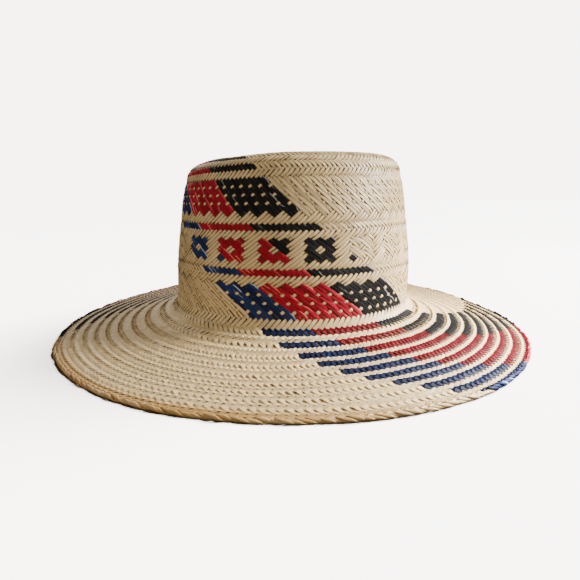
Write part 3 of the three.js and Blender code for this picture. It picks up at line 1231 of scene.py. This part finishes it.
# Places in metres and powers in watts. A spread makes a lamp a spot. All but the side lamp
# leave the floor out.
HAT_MIDDLE = (0.0, 0.0, 0.05)
LIGHT_ROWS = [
    {"name": "key", "place": (0.55, -0.12, 0.28), "size": 0.16,
     "power": 8.8, "gloss": 1.0, "colour": (1.0, 0.98, 0.95)},
    {"name": "spot", "place": (0.6, -0.02, 0.34), "aim": (0.215, -0.06, 0.0), "spread": 33,
     "size": 0.06, "power": 178.0, "gloss": 0.6, "colour": (1.0, 0.965, 0.91)},
    {"name": "side", "place": (0.8, 0.15, 0.6), "size": 0.6, "lights_floor": True,
     "power": 15.5, "gloss": 1.0, "colour": (1.0, 0.99, 0.98)},
    {"name": "front", "place": (0.0, -1.1, 0.34), "size": 0.8,
     "power": 6.3, "gloss": 0.5, "colour": (1.0, 0.93, 0.8)},
    {"name": "fill", "place": (-0.9, -0.35, 0.45), "size": 0.9,
     "power": 4.3, "gloss": 0.2, "colour": (1.0, 0.93, 0.8)},
    {"name": "back", "place": (-0.6, 0.9, 0.7), "size": 0.8,
     "power": 6.2, "gloss": 0.0, "colour": (1.0, 0.93, 0.84)},
    {"name": "top", "place": (0.8, 0.1, 0.9), "size": 0.8,
     "power": 6.6, "gloss": 0.5, "colour": (1.0, 0.97, 0.93)},
]


def turned_to(place, target=(0.0, 0.0, 0.0)):
    """The rotation of a lamp that shines from one place towards another."""
    aim = np.array(target) - np.array(place)
    flat = math.hypot(aim[0], aim[1])
    return (math.atan2(flat, -aim[2]), 0, math.atan2(-aim[0], aim[1]))


def place_camera(scene):
    """Stands the camera where the view was taken from."""
    lens = bpy.data.cameras.new("camera")
    lens.sensor_width = SENSOR_WIDTH
    lens.lens = SENSOR_WIDTH * FOCAL_PIXELS / PICTURE_PIXELS
    lens.clip_start = 0.01
    camera = bpy.data.objects.new("camera", lens)
    camera.location = (np.array(CAMERA_PLACE) + SHIFT) * MM
    camera.rotation_euler = (math.pi / 2 - CAMERA_TILT, 0.0, 0.0)
    scene.collection.objects.link(camera)
    scene.camera = camera


def lay_floor(scene, colour):
    """Lays the pale floor, which throws neither light nor a reflection onto the hat."""
    reach = FLOOR_REACH
    mesh = bpy.data.meshes.new("floor")
    corners = [(-reach, -reach, 0), (reach, -reach, 0), (reach, reach, 0), (-reach, reach, 0)]
    mesh.from_pydata(corners, [], [(0, 1, 2, 3)])
    material, tree, shader = new_material("pale_floor")
    fill(tree, shader, {"Base Color": (*colour, 1), "Roughness": 0.9})
    mesh.materials.append(material)
    floor = bpy.data.objects.new("floor", mesh)
    floor.visible_diffuse = False
    floor.visible_glossy = False
    scene.collection.objects.link(floor)
    return floor


def hang_sky(scene, colour, strength):
    """Sets the plain background, which lights nothing on the hat."""
    world = bpy.data.worlds.new("studio")
    world.use_nodes = True
    background = world.node_tree.nodes["Background"]
    fill(world.node_tree, background, {"Color": (*colour, 1), "Strength": strength})
    world.cycles_visibility.diffuse = False
    world.cycles_visibility.glossy = False
    scene.world = world


def hang_sun(scene, energy, receivers):
    """Hangs the wide sun that washes the floor and casts the hat's shadow on it."""
    sun = bpy.data.lights.new("floor_wash", "SUN")
    sun.energy = energy
    sun.angle = math.radians(SUN["width"])
    lamp = bpy.data.objects.new("floor_wash", sun)
    lamp.rotation_euler = turned_to(SUN["place"])
    lamp.light_linking.receiver_collection = receivers
    scene.collection.objects.link(lamp)


def hang_lamp(scene, row, brightness):
    """Hangs one lamp, aimed at the hat's middle or at its own spot."""
    spread = row.get("spread")
    data = bpy.data.lights.new(row["name"], "SPOT" if spread else "AREA")
    if spread:
        data.shadow_soft_size = row["size"]
        data.spot_size = math.radians(spread)
        data.spot_blend = 1.0
    else:
        data.shape = "DISK"
        data.size = row["size"]
    data.energy = row["power"] * brightness
    data.specular_factor = row["gloss"]
    data.color = row["colour"]
    lamp = bpy.data.objects.new(row["name"], data)
    lamp.location = row["place"]
    lamp.rotation_euler = turned_to(row["place"], row.get("aim", HAT_MIDDLE))
    scene.collection.objects.link(lamp)
    return lamp


class PALMHAT_OT_stage(bpy.types.Operator):
    """Sets the camera, the pale floor, the background and the soft lights"""

    bl_idname = "palm_hat.stage"
    bl_label = "Stage"

    def execute(self, context):
        scene = context.scene
        settings = scene.palm_hat_stage
        place_camera(scene)
        floor = lay_floor(scene, settings.floor)
        floor_only = bpy.data.collections.new("floor_only")
        floor_only.objects.link(floor)
        hang_sun(scene, settings.wash, floor_only)
        hang_sky(scene, settings.sky, settings.sky_strength)
        all_but_floor = bpy.data.collections.new("all_but_floor")
        all_but_floor.objects.link(floor)
        all_but_floor.collection_objects[0].light_linking.link_state = "EXCLUDE"
        for row in LIGHT_ROWS:
            lamp = hang_lamp(scene, row, settings.brightness)
            if "lights_floor" not in row:
                lamp.light_linking.receiver_collection = all_but_floor
        return {"FINISHED"}


class PALMHAT_OT_crown_side(bpy.types.Operator):
    """Plaits the crown's side and shoulder, with its dyed bands and row of figures"""

    bl_idname = "palm_hat.crown_side"
    bl_label = "Crown Side"

    def execute(self, context):
        sizes = context.scene.palm_hat_straw
        materials = plait_materials(context.scene.palm_hat_colours)
        for family, seed in CROWN_SEEDS.items():
            runs = [straw_paths(CROWN_SIDE, family, sizes, seed)]
            plait_piece(f"crown_{family}_straws", runs, sizes, materials)
        return {"FINISHED"}


class PALMHAT_OT_crown_top(bpy.types.Operator):
    """Plaits the crown's top in rounds that halve their straws towards the centre"""

    bl_idname = "palm_hat.crown_top"
    bl_label = "Crown Top"

    def execute(self, context):
        sizes = context.scene.palm_hat_straw
        materials = plait_materials(context.scene.palm_hat_colours)
        runs = []
        for seed, plait in enumerate(top_rounds(), TOP_SEED):
            for family in ("falling", "rising"):
                runs.append(straw_paths(plait, family, sizes, seed))
        runs.append(knot_paths())
        plait_piece("crown_top_straws", runs, sizes, materials)
        return {"FINISHED"}


class PALMHAT_OT_brim(bpy.types.Operator):
    """Plaits the brim in rings of straws that slant to and fro"""

    bl_idname = "palm_hat.brim"
    bl_label = "Brim"

    def execute(self, context):
        sizes = context.scene.palm_hat_straw
        materials = plait_materials(context.scene.palm_hat_colours)
        for family, seed in BRIM_SEEDS.items():
            runs = [straw_paths(BRIM, family, sizes, seed)]
            plait_piece(f"brim_{family}_straws", runs, sizes, materials)
        return {"FINISHED"}


class PALMHAT_OT_shade(bpy.types.Operator):
    """Lays the thin sheet of painted shade inside the plait, so that no slit lets light through"""

    bl_idname = "palm_hat.shade"
    bl_label = "Shade Between Straws"

    def execute(self, context):
        mesh = sheet_mesh(context.scene.palm_hat_straw.rib_height)
        mesh.materials.append(shade_material(context.scene.palm_hat_colours.natural))
        sheet = bpy.data.objects.new("plait_shade", mesh)
        context.scene.collection.objects.link(sheet)
        hand_over(sheet, "hat_body")
        return {"FINISHED"}


class PALMHAT_OT_edge(bpy.types.Operator):
    """Folds the straw ends round the rim, over a plain core"""

    bl_idname = "palm_hat.edge"
    bl_label = "Turned Edge"

    def execute(self, context):
        sizes = context.scene.palm_hat_straw
        materials = plait_materials(context.scene.palm_hat_colours)
        natural = materials[NATURAL]
        source = bpy.data.objects.new("edge_source", fold_mesh())
        context.scene.collection.objects.link(source)
        values = {"Ends": sizes.wraps, "Stray": FOLD_STRAY}
        edge = run_tree(source, fold_tree(natural), values, "turned_edge")
        settle_mesh(edge)
        dye_ends(edge, materials, sizes.wraps)
        hand_over(edge, "edge_border")
        core = bpy.data.objects.new("edge_core", core_mesh())
        context.scene.collection.objects.link(core)
        core.data.materials.append(natural)
        settle_mesh(core)
        hand_over(core, "edge_border")
        return {"FINISHED"}


class PALMHAT_PT_panel(bpy.types.Panel):
    """Lists the hat's pieces and settings"""

    bl_idname = "PALMHAT_PT_panel"
    bl_label = "Palm Hat"
    bl_space_type = "VIEW_3D"
    bl_region_type = "UI"
    bl_category = "Palm Hat"

    def draw(self, context):
        layout = self.layout
        for settings in SETTINGS:
            group = getattr(context.scene, settings)
            for key in group.bl_rna.properties.keys():
                if key not in {"rna_type", "name"}:
                    layout.prop(group, key)
        for operator in OPERATORS:
            layout.operator(operator.bl_idname)


SETTINGS = {
    "palm_hat_straw": PalmHatStraw,
    "palm_hat_colours": PalmHatColours,
    "palm_hat_stage": PalmHatStage,
}
OPERATORS = [
    PALMHAT_OT_stage,
    PALMHAT_OT_crown_side,
    PALMHAT_OT_crown_top,
    PALMHAT_OT_brim,
    PALMHAT_OT_shade,
    PALMHAT_OT_edge,
]


def register():
    """Registers the settings, operators and panel."""
    for name, group in SETTINGS.items():
        bpy.utils.register_class(group)
        setattr(bpy.types.Scene, name, bpy.props.PointerProperty(type=group))
    for kind in [*OPERATORS, PALMHAT_PT_panel]:
        bpy.utils.register_class(kind)


def unregister():
    """Takes back all that register adds."""
    for kind in [PALMHAT_PT_panel, *reversed(OPERATORS)]:
        bpy.utils.unregister_class(kind)
    for name, group in SETTINGS.items():
        delattr(bpy.types.Scene, name)
        bpy.utils.unregister_class(group)


def main():
    """Builds the stage and the hat."""
    register()
    bpy.ops.palm_hat.stage()
    bpy.ops.palm_hat.crown_side()
    bpy.ops.palm_hat.crown_top()
    bpy.ops.palm_hat.brim()
    bpy.ops.palm_hat.shade()
    bpy.ops.palm_hat.edge()


if __name__ == "__main__":
    main()
